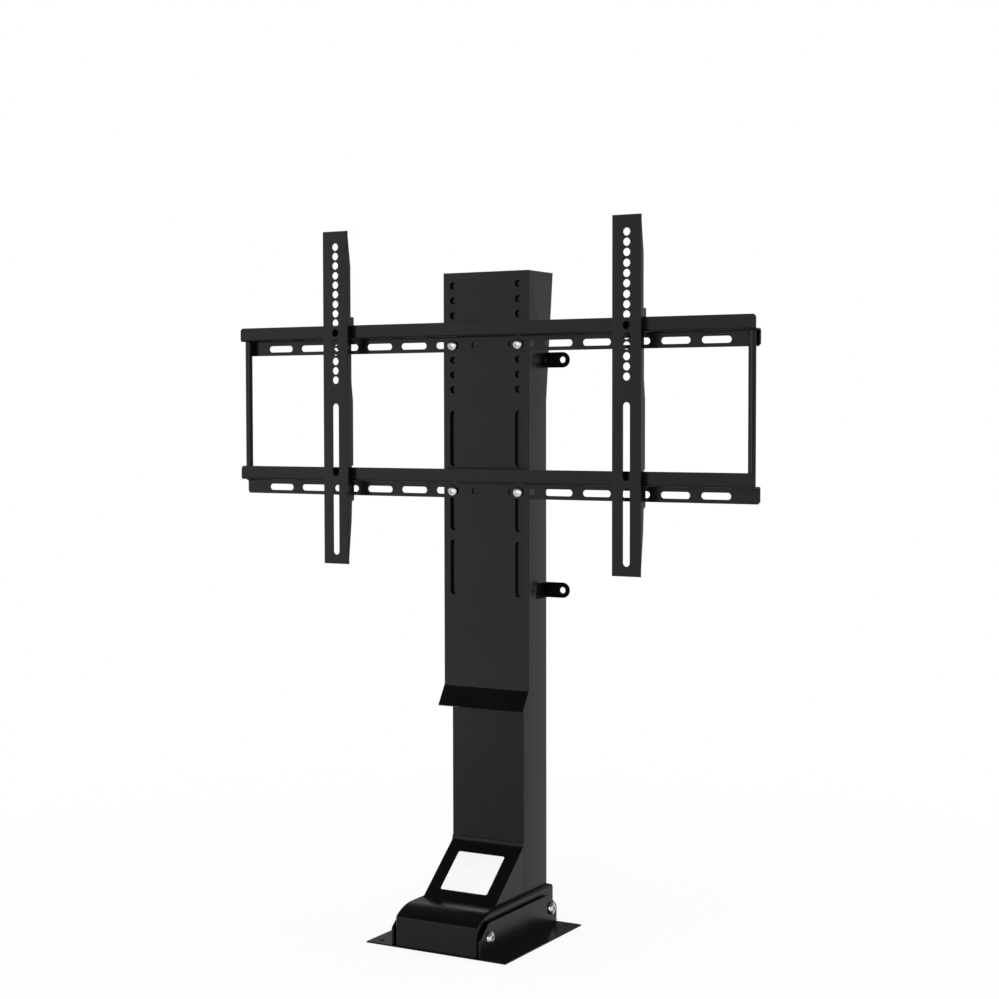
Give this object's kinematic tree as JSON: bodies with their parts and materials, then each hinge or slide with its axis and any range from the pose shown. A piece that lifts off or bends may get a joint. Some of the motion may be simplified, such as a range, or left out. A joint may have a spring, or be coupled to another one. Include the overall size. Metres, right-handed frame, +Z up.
{
  "type": "motorized screen lift",
  "caption": "Motorized lift column on a square foot plate, raising a slotted two-rail frame with two hooked vertical arms that carry a flat screen.",
  "frame": {"origin": "on the floor plane under the centre of the square base plate", "axes": "+Z up along the column, +X along the rails to the right of someone who faces the screen side, -Y out of the screen side"},
  "size_m": [0.8, 0.215, 0.9655],
  "materials": {
    "frame_black": "semi-gloss black powder coat on steel",
    "bright_zinc": "bright zinc-plated steel",
    "black_steel": "black oxide steel",
    "bare_steel": "ground bare steel",
    "cast_alloy": "as cast",
    "cast_block": "machined casting",
    "bronze": "turned bronze",
    "glide_plastic": "black acetal",
    "black_plastic": "moulded black plastic",
    "white_plate": "plain white panel, blank"
  },
  "bodies": {
    "base": {"base_plate": "frame_black", "side_bracket_left": "frame_black", "side_bracket_right": "frame_black", "foot_shell": "frame_black", "foot_bridge": "frame_black", "outer_column": "frame_black", "control_cover": "frame_black", "base_bolts": "bright_zinc", "base_nuts": "bright_zinc", "base_spacers": "bright_zinc", "gearbox_screws": "bright_zinc", "spindle_bearing": "bare_steel", "motor": "bare_steel", "gearbox": "cast_alloy", "bearing_block": "cast_block", "motor_end_cap": "black_plastic", "column_collar": "glide_plastic", "control_box": "black_plastic", "power_inlet": "black_plastic", "keypad_socket": "black_plastic", "label_plate": "white_plate"},
    "spindle": {"spindle": "bare_steel"},
    "carriage": {"inner_tube": "frame_black", "tube_glide_ring": "glide_plastic", "nut_block": "cast_block", "spindle_nut": "bronze", "tube_cap": "cast_block", "carriage_plate": "frame_black", "top_plate": "frame_black", "top_screws": "black_steel", "plate_glides": "glide_plastic", "rail_upper": "frame_black", "rail_lower": "frame_black", "rail_bolts": "bright_zinc", "rail_nuts": "bright_zinc", "tie_bar_left": "frame_black", "tie_bar_right": "frame_black", "tie_bar_screws": "black_steel", "cable_clip_upper": "black_plastic", "cable_clip_lower": "black_plastic", "clip_screws": "black_steel"},
    "arm_left": {"arm_left": "frame_black"},
    "arm_right": {"arm_right": "frame_black"}
  },
  "joints": [
    {"name": "lift", "type": "slide", "parent": "base", "child": "carriage", "axis": [0, 0, 1], "range_m": [0, 0.5]},
    {"name": "spindle_turn", "type": "hinge", "parent": "base", "child": "spindle", "pos_m": [0, 0.06765, 0], "axis": [0, 0, 1], "range_deg": [-18005, 5]},
    {"name": "arm_left_slide", "type": "slide", "parent": "carriage", "child": "arm_left", "axis": [1, 0, 0], "range_m": [-0.135, 0.1265]},
    {"name": "arm_right_slide", "type": "slide", "parent": "carriage", "child": "arm_right", "axis": [1, 0, 0], "range_m": [-0.1265, 0.135]}
  ],
  "couplings": [
    {"joint": "spindle_turn", "follows": "lift", "rad_per_m": -628.32}
  ]
}
